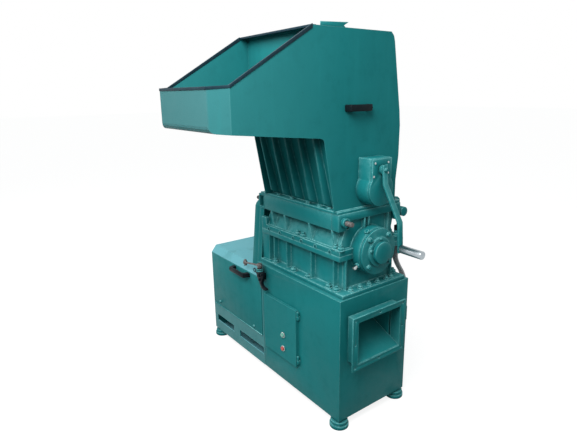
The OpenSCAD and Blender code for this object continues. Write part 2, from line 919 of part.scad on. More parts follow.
// folded sheet door with two button holes and its hinge knuckles
button_x = 190;
start_z = 327;
stop_z = 250;
door_y = -hw - gap;
knuckle_x = door_x1 + 8;
knuckle_y = -hw - 8.5;
module control_door() {
    place() color(paint) {
        difference() {
            block(door_x0, door_x1, door_y - door_t, door_y, door_z0, door_z1);
            block(door_x0 + 2, door_x1 - 2, door_y - door_t + 2, door_y + 1, door_z0 + 2, door_z1 - 2);
            for (z = [start_z, stop_z])
                rod_y(door_y - door_t - 1, door_y, button_x, z, 11);
        }
        for (z = [door_z0 + 40, door_z1 - 26])
            difference() {
                union() {
                    translate([knuckle_x, knuckle_y, z])
                        cylinder(h = 20, r = 6.5);
                    block(door_x1, knuckle_x, knuckle_y - 1.5, knuckle_y + 1.5, z, z + 20);
                }
                translate([knuckle_x, knuckle_y, z - 1])
                    cylinder(h = 22, r = 3.05);
            }
    }
}

module start_button() {
    place() color([0.2, 0.6, 0.35])
        rod_y(door_y - door_t - 12, door_y - door_t + 2, button_x, start_z, 10.95);
}

module stop_button() {
    place() color([0.75, 0.15, 0.12])
        rod_y(door_y - door_t - 12, door_y - door_t + 2, button_x, stop_z, 10.95);
}

// fixed knuckles and pins of the door hinges
module door_hinges() {
    place() color(paint)
        for (z = [door_z0 + 40, door_z1 - 26]) {
            translate([knuckle_x, knuckle_y, z - 20.3])
                cylinder(h = 20, r = 6.5);
            block(knuckle_x, knuckle_x + 7, knuckle_y, -hw - gap, z - 20.3, z - 0.3);
            translate([knuckle_x, knuckle_y, z - 1])
                cylinder(h = 24, r = 3);
        }
}

foot_pads();
base_cabinet();
motor_compartment();
motor_access_panel();
access_panel_handle();
discharge_chute();
discharge_slide();
lower_chamber();
upper_chamber();
frame_long_beams();
frame_end_bars();
rotor();
bearing_plates();
bearing_flange();
bearing_cap();
belt_guard();
guard_back_plate();
frame_lock_bosses();
frame_lock_studs();
clamp_body();
clamp_lever();
hinge_lugs();
hinge_pins();
limit_switch();
control_conduits();
cable_entry();
hopper_side_sheets();
hopper_front_sheet();
hopper_floor_sheet();
hopper_back_sheet();
neck_front_sheet();
neck_ribs();
hopper_baffle();
hopper_trim();
hopper_flange();
hopper_handle();
hopper_top_lug();
gear_housing();
gear_cover();
crank_arm();
crank_grip();
control_door();
start_button();
stop_button();
door_hinges();
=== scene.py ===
# %% [markdown]
# # Dressing a plastic granulator
# The CAD model of this machine is exact but bare: every flat is plain and every edge is
# razor sharp. This lesson keeps those solids where they are, gives them painted, moulded
# and turned finishes, and adds what a fitter would add to the real machine, such as bolts,
# weld beads, threads and the ribbed sleeves of the wiring.

# %% Load the machine
import math
import random
import bpy
import bmesh
from mathutils import Matrix, Vector


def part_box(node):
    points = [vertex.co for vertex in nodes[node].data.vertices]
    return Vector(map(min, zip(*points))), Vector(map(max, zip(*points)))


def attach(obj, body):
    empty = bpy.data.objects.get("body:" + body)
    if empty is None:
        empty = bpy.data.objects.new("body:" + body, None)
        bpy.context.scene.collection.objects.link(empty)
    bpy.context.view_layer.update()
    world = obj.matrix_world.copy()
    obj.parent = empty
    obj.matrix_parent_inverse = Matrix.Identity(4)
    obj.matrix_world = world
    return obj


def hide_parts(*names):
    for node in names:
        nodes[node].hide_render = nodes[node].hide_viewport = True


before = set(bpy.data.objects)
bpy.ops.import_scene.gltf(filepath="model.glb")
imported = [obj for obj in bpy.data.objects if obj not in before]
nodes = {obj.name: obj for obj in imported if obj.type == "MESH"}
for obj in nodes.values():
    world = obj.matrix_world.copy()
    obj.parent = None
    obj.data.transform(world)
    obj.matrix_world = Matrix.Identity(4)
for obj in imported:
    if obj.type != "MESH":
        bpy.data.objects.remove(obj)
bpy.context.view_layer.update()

# %% [markdown]
# ## A maker's datum
# The row's origin is on the floor under the middle of the whole machine, which is handy for
# whoever buys the part and awkward for whoever bolts it together. A fitter measures from the
# middle of the base and from the axis of the rotor. Both can be read off the CAD boxes, so
# `at()` takes millimetres from that datum and gives back metres in the row's frame.

# %% Datum and units
MM = 0.001
cabinet_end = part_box("base_cabinet")[1].x
cap_low, cap_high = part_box("bearing_cap")
DATUM = Vector((cabinet_end - 600 * MM, (cap_low.y + cap_high.y) / 2, 0))
ROTOR_Z = (cap_low.z + cap_high.z) / 2 / MM


def at(x, y, z):
    """Millimetres from the middle of the base and the rotor axis, as metres in the row."""
    return DATUM + Vector((x, y, z)) * MM


X_AXIS, Y_AXIS, Z_AXIS = Vector((1, 0, 0)), Vector((0, 1, 0)), Vector((0, 0, 1))
print("datum", [round(v, 4) for v in DATUM], "rotor height", round(ROTOR_Z, 1), "mm")

# %% [markdown]
# ## The camera
# The camera stands where a person would, about 2.5 m off the corner of the machine with the
# lens at eye height, and looks slightly down. A camera in Blender looks along its own -Z,
# so its matrix is made of three columns: what is right, what is up, and what is behind it.
# A small roll turns the first two about the third.

# %% Camera
def new_object(name, data):
    """An object in the scene that holds some data."""
    made = bpy.data.objects.new(name, data)
    bpy.context.scene.collection.objects.link(made)
    return made


CAMERA_PLACE = (1983.9, -1517.3, 1538.5)
CAMERA_TURN, CAMERA_PITCH, CAMERA_ROLL = map(math.radians, (53.62, 14.73, -0.884))
CAMERA_LENS = 29.366

look = Vector((-math.sin(CAMERA_TURN) * math.cos(CAMERA_PITCH),
               math.cos(CAMERA_TURN) * math.cos(CAMERA_PITCH),
               -math.sin(CAMERA_PITCH)))
level = Vector((math.cos(CAMERA_TURN), math.sin(CAMERA_TURN), 0))
rise = level.cross(look)
right = level * math.cos(CAMERA_ROLL) + rise * math.sin(CAMERA_ROLL)
upward = rise * math.cos(CAMERA_ROLL) - level * math.sin(CAMERA_ROLL)

camera = new_object("camera", bpy.data.cameras.new("camera"))
columns = Matrix((right, upward, -look)).transposed()
camera.matrix_world = Matrix.Translation(at(*CAMERA_PLACE)) @ columns.to_4x4()
camera.data.sensor_fit = "HORIZONTAL"
camera.data.sensor_width = 36
camera.data.lens = CAMERA_LENS
camera.data.clip_start = 0.05
camera.data.clip_end = 200
bpy.context.scene.camera = camera
bpy.context.scene.view_settings.view_transform = "Standard"
print("camera", round((camera.location - at(274, 0, 900)).length, 2), "m from the chamber")

# %% [markdown]
# ## The wiring sleeves come first
# Three grey plastic sleeves hang behind the cutting chamber, from the safety switch down to
# a small box on the cabinet's back. They are ribbed like a vacuum hose, so that they bend.
# The route is the one that the CAD solid follows. One ring is pushed along it with the
# extrude operator, and each new ring is turned to face down the route and made a little
# wider or narrower, which gives real ribs that catch the light.

# %% Materials by name, filled in later
def empty_material(name):
    """A material with no nodes in it yet."""
    material = bpy.data.materials.new(name)
    material.use_nodes = True
    material.node_tree.nodes.clear()
    return material


SLOT_OF = dict.fromkeys(["sheet_enamel", "casting_enamel", "hood_enamel", "faded_and_sheen_enamel",
                         "hopper_enamel", "panel_enamel"], "teal_paint")
SLOT_OF |= {"black_moulding": "black_plastic", "slate_rubber": "rubber",
            "bright_steel": "bare_steel", "zinc_bolt": "bare_steel",
            "rusty_thread": "dull_steel", "ground_knife": "knife_steel",
            "grey_sleeve": "grey_conduit", "green_lens": "green_plastic",
            "red_cap": "red_plastic"}
finish = {name: empty_material(name) for name in [*SLOT_OF, "floor_paint"]}


def finished_mesh(bm, name):
    """The mesh of a bmesh, which is freed."""
    mesh = bpy.data.meshes.new(name)
    bm.to_mesh(mesh)
    bm.free()
    return mesh


def keep_piece(bm, name, body, finish_name, smooth_below=30):
    """Turns a bmesh into a piece that rides on a body, with smooth curves and crisp edges."""
    mesh = finished_mesh(bm, name)
    mesh.shade_smooth()
    mesh.set_sharp_from_angle(angle=math.radians(smooth_below))
    mesh.materials.append(finish[finish_name])
    piece = new_object(name, mesh)
    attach(piece, body)
    print(name, len(mesh.polygons), "faces")
    return piece

# %% Sleeve route
SLEEVE_R = 5.5
SLEEVE_STARTS = [(526, 212), (538, 212), (550, 212)]
SLEEVE_ROUTE = [(0, 0, 829.7), (0, 0, 814), (-5, 0, 797), (-14, 0, 777), (-19, 1, 756),
                (-17, 4, 735), (-9, 7.5, 714), (1, 11.5, 695), (11, 16.5, 676), (18, 20, 657),
                (23, 20.5, 638), (24, 20.5, 618), (23.5, 20.5, 598), (22, 20.5, 578),
                (19, 20.5, 558), (16, 20.5, 539), (13.5, 20.5, 520), (12, 20.5, 503),
                (12, 20.5, 487), (12, 20.5, 472)]


def smooth_route(points, steps):
    """Points on the smooth curve through the given ones, a few between each pair."""
    route = []
    for i in range(len(points) - 1):
        a, b, c, d = (points[min(max(i + k, 0), len(points) - 1)] for k in (-1, 0, 1, 2))
        for s in range(steps):
            t = s / steps
            route.append(0.5 * (2 * b + (c - a) * t + (2 * a - 5 * b + 4 * c - d) * t * t
                                + (3 * b - a - 3 * c + d) * t ** 3))
    return route + [points[-1]]


def push_ring(bm, radius, sides, places):
    """Extrudes one ring through a list of matrices and closes both ends."""
    ring = bmesh.ops.create_circle(bm, cap_ends=True, segments=sides, radius=radius)["verts"]
    edges = [e for e in bm.edges if all(v in ring for v in e.verts)]
    before = Matrix.Identity(4)
    for i, here in enumerate(places):
        if i:
            grown = bmesh.ops.extrude_edge_only(bm, edges=edges)["geom"]
            ring = [g for g in grown if isinstance(g, bmesh.types.BMVert)]
            edges = [g for g in grown if isinstance(g, bmesh.types.BMEdge)
                     and all(v in ring for v in g.verts)]
        bmesh.ops.transform(bm, matrix=here @ before.inverted(), verts=ring)
        before = here
    bmesh.ops.contextual_create(bm, geom=edges)
    bmesh.ops.recalc_face_normals(bm, faces=bm.faces)


def ribbed_tube(bm, route, radius, sides=12, rib=0.06):
    """A tube along the route, a little wider and narrower by turns."""
    places = []
    for i, point in enumerate(route):
        ahead = route[min(i + 1, len(route) - 1)] - route[max(i - 1, 0)]
        turn = ahead.to_track_quat("Z", "Y").to_matrix().to_4x4()
        places.append(Matrix.Translation(point) @ turn @ Matrix.Scale(1 - rib * (i % 2), 4))
    push_ring(bm, radius, sides, places)

# %% Sleeves
for number, (x, y) in enumerate(SLEEVE_STARTS, 1):
    route = smooth_route([at(x + dx, y + dy, z) for dx, dy, z in SLEEVE_ROUTE], 6)
    bm = bmesh.new()
    ribbed_tube(bm, route, SLEEVE_R * MM)
    sleeve = keep_piece(bm, f"wiring_sleeve_{number}", "machine", "grey_sleeve", 60)
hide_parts("control_conduits")

# %% [markdown]
# ## A pale floor and soft light
# The floor is a large plane of pale paint. The camera should see it as white, but the
# machine should not be lit by a glowing floor, so the material asks the Light Path node
# which ray it answers: the camera gets some light of its own on top, and so does a
# reflection, while the bounce light on the machine comes from dull paint alone. The shadow
# under the machine stays, because the painted share of the floor can still be shaded.

# %% Node helpers
def feed(tree, socket, value):
    """Gives a socket its value: another socket, a number or a colour."""
    if isinstance(value, bpy.types.NodeSocket):
        tree.links.new(value, socket)
    else:
        socket.default_value = value


def add_node(tree, kind, values=None, **settings):
    """A node with its settings, and what goes into its sockets by name or number."""
    made = tree.nodes.new(kind)
    for key, value in settings.items():
        setattr(made, key, value)
    for key, value in (values or {}).items():
        feed(tree, made.inputs[key], value)
    return made


def shade(tree, kind, values=None, **settings):
    """A shader node, by the short name of its kind."""
    return add_node(tree, "ShaderNode" + kind, values, **settings)


def looked_at(tree, bounced, seen, kind="OutputMaterial"):
    """Ends a tree: one shader for bounce light, one for what is seen, mirrored or refracted."""
    path = shade(tree, "LightPath")
    total = path.outputs["Is Camera Ray"]
    for name in ("Is Glossy Ray", "Is Transmission Ray"):
        total = shade(tree, "Math", {0: total, 1: path.outputs[name]},
                      operation="MAXIMUM").outputs[0]
    pick = shade(tree, "MixShader", {0: total, 1: bounced.outputs[0], 2: seen.outputs[0]})
    shade(tree, kind, {"Surface": pick.outputs[0]})

# %% Floor
FLOOR_HALF, FLOOR_DROP = 40, 0.5 * MM
bm = bmesh.new()
bmesh.ops.create_grid(bm, x_segments=1, y_segments=1, size=FLOOR_HALF)
floor = new_object("floor", finished_mesh(bm, "floor"))
floor.data.materials.append(finish["floor_paint"])
floor.location.z = -FLOOR_DROP

tree = finish["floor_paint"].node_tree
paint = shade(tree, "BsdfDiffuse", {"Color": (0.30, 0.30, 0.30, 1)})
dull = shade(tree, "BsdfDiffuse", {"Color": (0.12, 0.12, 0.12, 1)})
glow = shade(tree, "Emission", {"Color": (1, 1, 1, 1), "Strength": 0.84})
both = shade(tree, "AddShader", {0: paint.outputs[0], 1: glow.outputs[0]})
looked_at(tree, dull, both)

# %% World
world = bpy.data.worlds.new("hall")
bpy.context.scene.world = world
world.use_nodes = True
tree = world.node_tree
tree.nodes.clear()
soft = shade(tree, "Background", {"Color": (0.97, 1, 1, 1), "Strength": 0.50})
white = shade(tree, "Background", {"Color": (1, 1, 1, 1), "Strength": 1.0})
looked_at(tree, soft, white, "OutputWorld")

# %% Lamps
def soft_box(name, place, aim, size, power):
    """A square area lamp that points at a place on the machine."""
    lamp = bpy.data.lights.new(name, "AREA")
    lamp.shape = "RECTANGLE"
    lamp.size, lamp.size_y = size
    lamp.energy = power
    holder = new_object(name, lamp)
    holder.location = place
    holder.rotation_euler = (aim - place).to_track_quat("-Z", "Y").to_euler()
    print(name, round((aim - place).length, 2), "m away")


soft_box("left_window", at(-2500, -3000, 3500), at(200, -100, 900), (2.4, 2.4), 65)
soft_box("near_panel", at(1300, -1700, 2700), at(200, -100, 900), (1.4, 1.4), 61)

# %% [markdown]
# ## Effects that several finishes share
# Paint, steel and plastic all age in the same few ways, and some of the same groups also
# paint light and shade into the colour: highlights on edges, shade in corners and pale
# reflections. Each way is a node group that is built once, with named sockets, and then
# placed in every material that needs it with its own values. A group only hands out masks,
# colours and heights. The shader itself, and anything that depends on how a ray arrives,
# stays in the material.

# %% Group helper
def effect_group(name, inputs, outputs):
    """An empty shader group with its sockets; returns the group, its input and its output."""
    group = bpy.data.node_groups.new(name, "ShaderNodeTree")
    for label, kind, value in inputs:
        socket = group.interface.new_socket(label, in_out="INPUT", socket_type=kind)
        socket.default_value = value
    for label, kind in outputs:
        group.interface.new_socket(label, in_out="OUTPUT", socket_type=kind)
    return group, add_node(group, "NodeGroupInput"), add_node(group, "NodeGroupOutput")


NUMBER, COLOUR, ARROW = "NodeSocketFloat", "NodeSocketColor", "NodeSocketVector"


def calc(tree, operation, a, b, clamp=False):
    """A Math node whose inputs may be sockets or plain numbers."""
    return shade(tree, "Math", {0: a, 1: b}, operation=operation, use_clamp=clamp).outputs[0]


def times(tree, *factors, clamp=False):
    """The product of two or more sockets or numbers."""
    product = factors[0]
    for factor in factors[1:]:
        product = calc(tree, "MULTIPLY", product, factor, clamp)
    return product


def ramp(tree, value, low, high, to_low=0.0, to_high=1.0):
    """Stretches one range of a value over another, and clips it."""
    return shade(tree, "MapRange", {
        "Value": value, "From Min": low, "From Max": high, "To Min": to_low,
        "To Max": to_high}).outputs["Result"]


def own_place(tree):
    """The piece's own coordinates, which move with it."""
    return shade(tree, "TexCoord").outputs["Object"]


def split(tree, vector):
    """The X, Y and Z of a vector."""
    return shade(tree, "SeparateXYZ", {0: vector}).outputs


def cloud(tree, scale, detail=3.0, rough=0.55, stretch=None):
    """Noise on the piece's own coordinates, where 1 unit of scale is one blob a metre."""
    place = own_place(tree)
    if stretch:
        place = shade(tree, "Mapping", {"Vector": place, "Scale": stretch}).outputs[0]
    return shade(tree, "TexNoise", {
        "Vector": place, "Scale": scale, "Detail": detail, "Roughness": rough}).outputs["Fac"]


def blend_colour(tree, factor, a, b):
    """From colour a to colour b by a factor."""
    return shade(tree, "Mix", {0: factor, 6: a, 7: b}, data_type="RGBA").outputs[2]


def layer_colours(tree, colour, *layers):
    """Lays more colours over one, each through the mask of a group."""
    for group, other in layers:
        colour = blend_colour(tree, group.outputs["Mask"], colour, other)
    return colour


def hand_out(tree, outside, **values):
    """What a group puts out, by the names of its sockets."""
    for label, value in values.items():
        feed(tree, outside.inputs[label], value)


def put_mask(tree, inside, outside, *factors):
    """A group's mask: its factors and its Amount, all multiplied together."""
    hand_out(tree, outside, Mask=times(tree, *factors, inside.outputs["Amount"], clamp=True))

# %% [markdown]
# ### Edge wear and painted edge highlight
# Paint is thinnest on an outside corner, and hands and tools rub it there first. The same
# pale mask also paints the highlight that light draws along a rounded edge. The Bevel
# node gives the normal that the surface would have if its edges were rounded off. Where
# that differs from the true normal, an edge is near. Edges that look up get more of it than
# edges that look down, which is painted light from above, and a cloud of noise breaks the
# line up, so that it isn't an even stripe.

# %% Edge wear and painted highlight group
tree, inside, outside = effect_group(
    "edge wear and highlight", [("Width", NUMBER, 0.002), ("Amount", NUMBER, 0.6), ("Break Up", NUMBER, 45.0)],
    [("Mask", NUMBER)])
rounded = shade(tree, "Bevel", {"Radius": inside.outputs["Width"]}, samples=6)
true_normal = shade(tree, "NewGeometry").outputs["True Normal"]
match = shade(tree, "VectorMath", {0: rounded.outputs[0], 1: true_normal},
              operation="DOT_PRODUCT")
near_edge = ramp(tree, calc(tree, "SUBTRACT", 1.0, match.outputs["Value"]), 0.004, 0.09)
patchy = ramp(tree, cloud(tree, inside.outputs["Break Up"], 4.0, 0.65), 0.30, 0.56, 0.25, 1.0)
# Edges that face up are lighter: a painted highlight from the light above.
top_edge_highlight = ramp(tree, split(tree, rounded.outputs[0])["Z"], -0.25, 0.35, 0.12, 1.0)
put_mask(tree, inside, outside, near_edge, patchy, top_edge_highlight)

# %% [markdown]
# ### Grime and painted shade in corners
# Oil and dust gather where a cloth can't reach, and little light gets in there, so this dark
# is partly grime and partly painted shade. Ambient Occlusion measures how closed in a
# point is, and raising that to a power keeps the dark to the corners themselves.

# %% Corner grime and painted shade group
tree, inside, outside = effect_group(
    "corner grime and shade", [("Reach", NUMBER, 0.03), ("Amount", NUMBER, 0.5)], [("Mask", NUMBER)])
closed_in = shade(tree, "AmbientOcclusion", {"Distance": inside.outputs["Reach"]}, samples=8)
# Closed-in places darken: grime and painted shade.
closed = calc(tree, "SUBTRACT", 1.0, closed_in.outputs["AO"])
mottled = ramp(tree, cloud(tree, 26.0, 4.0), 0.3, 0.7, 0.55, 1.0)
put_mask(tree, inside, outside, calc(tree, "POWER", closed, 1.5), mottled)

# %% [markdown]
# ### Settled dust and painted sky sheen
# A granulator makes fine plastic dust, which lies on whatever faces up. The height of the
# normal says how much a face looks at the ceiling, and noise scatters the dust. On the
# motor's hood the same mask, made nearly even and pale blue, is dust and also a painted
# reflection of the sky.

# %% Settled dust and painted sky sheen group
tree, inside, outside = effect_group(
    "settled dust and sky sheen", [("Amount", NUMBER, 0.3), ("Even", NUMBER, 0.0), ("Steepest", NUMBER, 0.55)],
    [("Mask", NUMBER)])
up_tilt = split(tree, shade(tree, "NewGeometry").outputs["Normal"])["Z"]
above = calc(tree, "SUBTRACT", up_tilt, inside.outputs["Steepest"])
drifts = ramp(tree, cloud(tree, 7.0, 6.0, 0.7), 0.35, 0.75)
covered = calc(tree, "ADD", drifts, inside.outputs["Even"], clamp=True)
put_mask(tree, inside, outside, ramp(tree, above, 0.0, 0.3), covered)

# %% [markdown]
# ### Fading and painted sheen
# A mask grows from one depth of the piece's own coordinates to another. On the hopper it
# paints a pale reflection of the light at the feeding side; on the hopper's front sheet it is
# faded paint and that painted reflection together.

# %% Fading and painted sheen group
tree, inside, outside = effect_group(
    "fading_and_sheen", [("From", NUMBER, 0.05), ("To", NUMBER, -0.45), ("Amount", NUMBER, 0.0)],
    [("Mask", NUMBER)])
put_mask(tree, inside, outside, ramp(tree, split(tree, own_place(tree))["Y"],
                                     inside.outputs["From"], inside.outputs["To"]))

# %% [markdown]
# ### Sprayed enamel
# Thick machine enamel never dries flat. It has an orange-peel skin a few millimetres
# across, slow waves where the sheet behind it isn't true, tiny dark pinholes and dust nibs,
# and a tone that drifts with the thickness of the coat. The group takes the colour and puts
# out the drifting colour, a height for the Bump node and a roughness.

# %% Sprayed enamel group
tree, inside, outside = effect_group(
    "sprayed enamel",
    [("Colour", COLOUR, (0.02, 0.18, 0.18, 1)), ("Peel Scale", NUMBER, 170.0),
     ("Peel", NUMBER, 1.0), ("Waves", NUMBER, 1.0), ("Gloss Drift", NUMBER, 0.1),
     ("Base Roughness", NUMBER, 0.34)],
    [("Colour", COLOUR), ("Height", NUMBER), ("Roughness", NUMBER)])
tone = cloud(tree, 2.3, 5.0, 0.6)
smudge = cloud(tree, 17.0, 5.0, 0.65)
runs = cloud(tree, 9.0, 3.0, 0.5, stretch=(3.0, 3.0, 0.35))
lighter = blend_colour(tree, 0.5, inside.outputs["Colour"], (0.03, 0.36, 0.37, 1))
darker = blend_colour(tree, 0.5, inside.outputs["Colour"], (0.002, 0.08, 0.09, 1))
nibs = shade(tree, "TexVoronoi", {"Vector": own_place(tree), "Scale": 85.0, "Randomness": 1.0})
specks = times(tree, ramp(tree, nibs.outputs["Distance"], 0.07, 0.13, 1.0, 0.0),
               ramp(tree, cloud(tree, 31.0), 0.58, 0.66))
body = inside.outputs["Colour"]
for share, other in ((ramp(tree, tone, 0.35, 0.7, 0.0, 0.22), lighter),
                     (ramp(tree, smudge, 0.52, 0.78, 0.0, 0.38), darker),
                     (ramp(tree, runs, 0.5, 0.72, 0.0, 0.16), lighter),
                     (times(tree, specks, 0.55), darker)):
    body = blend_colour(tree, share, body, other)
peel = times(tree, cloud(tree, inside.outputs["Peel Scale"], 2.0, 0.45), inside.outputs["Peel"])
waves = times(tree, cloud(tree, 5.5, 2.0, 0.4), inside.outputs["Waves"], 5.0)
swell = calc(tree, "ADD", peel, waves)
gloss = times(tree, ramp(tree, smudge, 0.3, 0.75, -0.4, 1.0), inside.outputs["Gloss Drift"])
hand_out(tree, outside, Colour=body, Height=calc(tree, "ADD", swell, times(tree, specks, 0.6)),
         Roughness=calc(tree, "ADD", gloss, inside.outputs["Base Roughness"]))

# %% [markdown]
# ### Turned and drawn metal
# A lathe leaves rings round a turned part and a die leaves lines along a drawn one. Noise
# that is stretched hard in one direction gives both. It is used for the steel grip, the
# hinge pins, the knives and the bolts, each with its own direction and depth.

# %% Drawn lines group
tree, inside, outside = effect_group(
    "drawn lines", [("Stretch", ARROW, (6.0, 300.0, 300.0)), ("Depth", NUMBER, 1.0)],
    [("Lines", NUMBER), ("Stains", NUMBER)])
pulled = shade(tree, "VectorMath", {0: own_place(tree), 1: inside.outputs["Stretch"]},
               operation="MULTIPLY")
fibre = shade(tree, "TexNoise", {"Vector": pulled.outputs[0], "Scale": 1.0, "Detail": 4.0,
                                 "Roughness": 0.6})
hand_out(tree, outside, Lines=times(tree, fibre.outputs["Fac"], inside.outputs["Depth"]),
         Stains=ramp(tree, cloud(tree, 38.0, 6.0, 0.7), 0.45, 0.75))

# %% [markdown]
# ## The finishes
# Every finish starts from one Principled shader. Values that are the same all over are set
# on its sockets, and only what changes over the surface is wired in.

# %% Shader helper
def spaced(values):
    """Socket names as Blender writes them, with spaces."""
    return {label.replace("_", " "): value for label, value in values.items()}


def start_finish(name, **plain):
    """The Principled shader of a finish, with its plain values set."""
    tree = finish[name].node_tree
    shader = shade(tree, "BsdfPrincipled", spaced(plain))
    shade(tree, "OutputMaterial", {"Surface": shader.outputs[0]})
    return tree, shader


def place_group(tree, name, **values):
    """One of the effects, placed in a finish with its own values."""
    return shade(tree, "Group", spaced(values), node_tree=bpy.data.node_groups[name])


def finish_up(tree, shader, height, distance, **values):
    """Wires what changes over the surface, and a height that becomes a bumpy normal."""
    bump = shade(tree, "Bump", {"Height": height, "Distance": distance})
    for label, value in spaced(values).items():
        feed(tree, shader.inputs[label], value)
    feed(tree, shader.inputs["Normal"], bump.outputs[0])

# %% [markdown]
# ### Teal enamel, six ways
# The machine is sprayed teal all over, but it doesn't look the same everywhere. Folded
# sheet takes the paint smoothly, and loose panels are less worn. The welded chamber is
# rough under a thicker coat. The hopper is painted paler towards the feeding side, a
# painted reflection of the light there, paler on its front sheet most of all, which is also
# faded. The low hood over the motor, which faces up, is painted pale blue on top: dust,
# and a painted reflection of the sky.

# %% Enamel finishes
# Pale edges: worn paint and a painted highlight. Dark corners: grime and painted shade.
PALE_EDGE_AND_HIGHLIGHT = (0.26, 0.66, 0.66, 1)
GRIME_AND_SHADE = (0.006, 0.035, 0.038, 1)
DUST = (0.20, 0.44, 0.46, 1)


def enamel(name, colour, peel, waves, roughness, wear, grime, dust, drift=0.1, scale=170.0,
           dust_and_sky_sheen_colour=DUST, even=0.0, steepest=0.55, shine=0.04, line=0.0042, fading_and_sheen=None):
    """Sprayed paint with faded paint and painted sheen, grime and painted shade, dust and painted
    sky sheen, and pale edges with painted highlights over it, in that order.
    """
    # The wear amount also sets the painted edge highlight, the grime amount the painted corner
    # shade, and the dust amount the hood's painted sky reflection.
    tree, shader = start_finish(name, IOR=1.45, Specular_IOR_Level=shine)
    coat = place_group(tree, "sprayed enamel", Colour=colour, Peel_Scale=scale, Peel=peel,
                       Waves=waves, Gloss_Drift=drift, Base_Roughness=roughness)
    edge = place_group(tree, "edge wear and highlight", Width=line, Amount=wear, Break_Up=42.0)
    corner = place_group(tree, "corner grime and shade", Reach=0.035, Amount=grime)
    settled = place_group(tree, "settled dust and sky sheen", Amount=dust, Even=even, Steepest=steepest)
    layers = [(corner, GRIME_AND_SHADE), (settled, dust_and_sky_sheen_colour), (edge, PALE_EDGE_AND_HIGHLIGHT)]
    # A pale colour towards the front of the piece: a painted reflection, and on the front sheet
    # faded paint too.
    if fading_and_sheen:
        chalk_and_sheen_colour, start, end, amount = fading_and_sheen
        chalk_and_sheen_mask = place_group(tree, "fading_and_sheen", From=start, To=end, Amount=amount)
        layers.insert(0, (chalk_and_sheen_mask, chalk_and_sheen_colour))
    finish_up(tree, shader, coat.outputs["Height"], 0.6 * MM,
              Base_Color=layer_colours(tree, coat.outputs["Colour"], *layers),
              Roughness=calc(tree, "ADD", coat.outputs["Roughness"],
                             times(tree, settled.outputs["Mask"], 0.35)))


enamel("sheet_enamel", (0.012, 0.205, 0.213, 1), 0.55, 0.9, 0.36, 0.75, 0.6, 0.10)
enamel("casting_enamel", (0.010, 0.200, 0.212, 1), 1.3, 0.5, 0.33, 1.0, 1.0, 0.04, 0.16, 120.0,
       shine=0.05, line=0.0048)
# The hood's nearly even pale blue top is dust and also a painted reflection of the sky.
enamel("hood_enamel", (0.020, 0.210, 0.222, 1), 0.5, 1.0, 0.34, 0.05, 0.4, 0.85,
       dust_and_sky_sheen_colour=(0.20, 0.56, 0.64, 1), even=0.75, steepest=0.35, shine=0.25)
# The front sheet's greyer colour and paler face are faded paint and also a painted reflection of
# the bright light in front.
enamel("faded_and_sheen_enamel", (0.042, 0.195, 0.205, 1), 0.55, 0.9, 0.42, 0.12, 0.4, 0.10,
       fading_and_sheen=((0.060, 0.208, 0.218, 1), -0.500, -0.505, 0.9))
# The hopper's change to pale towards the front is a painted reflection of the light at the feeding
# side.
enamel("hopper_enamel", (0.013, 0.200, 0.210, 1), 0.55, 0.9, 0.36, 0.3, 0.6, 0.10,
       fading_and_sheen=((0.12, 0.36, 0.37, 1), 0.08, -0.45, 0.17))
enamel("panel_enamel", (0.014, 0.207, 0.215, 1), 0.55, 0.9, 0.36, 0.25, 0.25, 0.10)

# %% [markdown]
# ### Black mouldings, rubber and sleeve plastic
# Moulded handles have a fine spark-eroded grain, the edging round the mouth is a slate
# coloured rubber channel that has greyed, and the sleeves are matt grey polyamide.

# %% Plastic and rubber finishes
# Soot in corners is also painted shade; worn edges also carry a painted highlight.
SOOT_AND_SHADE, GREY_DUST = (0.004, 0.005, 0.006, 1), (0.16, 0.22, 0.24, 1)


def moulding(name, colour, worn_and_highlight_colour, roughness, grain, depth, dusty, **plain):
    """Moulded plastic or rubber, worn in patches, with a grain of some depth in millimetres."""
    tree, shader = start_finish(name, **plain)
    # Corners are darkened by soot and painted shade; edges are lightened by wear and a painted
    # highlight.
    corner = place_group(tree, "corner grime and shade", Reach=0.012, Amount=0.5)
    edge = place_group(tree, "edge wear and highlight", Width=0.0012, Amount=0.55, Break_Up=110.0)
    settled = place_group(tree, "settled dust and sky sheen", Amount=dusty)
    patches = ramp(tree, cloud(tree, 23.0, 5.0, 0.65), 0.35, 0.75)
    patched = blend_colour(tree, times(tree, patches, 0.45), colour, worn_and_highlight_colour)
    finish_up(tree, shader, cloud(tree, grain, 3.0, 0.6), depth * MM,
              Base_Color=layer_colours(tree, patched, (corner, SOOT_AND_SHADE), (edge, worn_and_highlight_colour),
                                       (settled, GREY_DUST)),
              Roughness=ramp(tree, patches, 0.0, 1.0, roughness - 0.05, roughness + 0.1))


moulding("black_moulding", (0.005, 0.009, 0.012, 1), (0.014, 0.024, 0.029, 1), 0.34, 520.0, 0.2,
         dusty=0.05, Specular_IOR_Level=0.06)
moulding("slate_rubber", (0.011, 0.030, 0.044, 1), (0.034, 0.078, 0.098, 1), 0.45, 300.0, 0.2,
         dusty=0.2, Specular_IOR_Level=0.06)
moulding("grey_sleeve", (0.33, 0.335, 0.34, 1), (0.45, 0.455, 0.46, 1), 0.46, 380.0, 0.15,
         dusty=0.1)
moulding("green_lens", (0.10, 0.42, 0.32, 1), (0.28, 0.60, 0.52, 1), 0.22, 60.0, 0.1,
         dusty=0.1, IOR=1.49, Coat_Weight=0.4, Coat_Roughness=0.1)
moulding("red_cap", (0.50, 0.045, 0.035, 1), (0.62, 0.14, 0.11, 1), 0.34, 200.0, 0.1, dusty=0.1)

# %% [markdown]
# ### Steel
# Metal in the Principled shader is a Metallic of 1 and a base colour that tints the
# reflection. Bright steel is smeared by its drawn lines; the threaded studs have rusted
# brown, and rust isn't metallic, so a mask drives Metallic down where it lies.

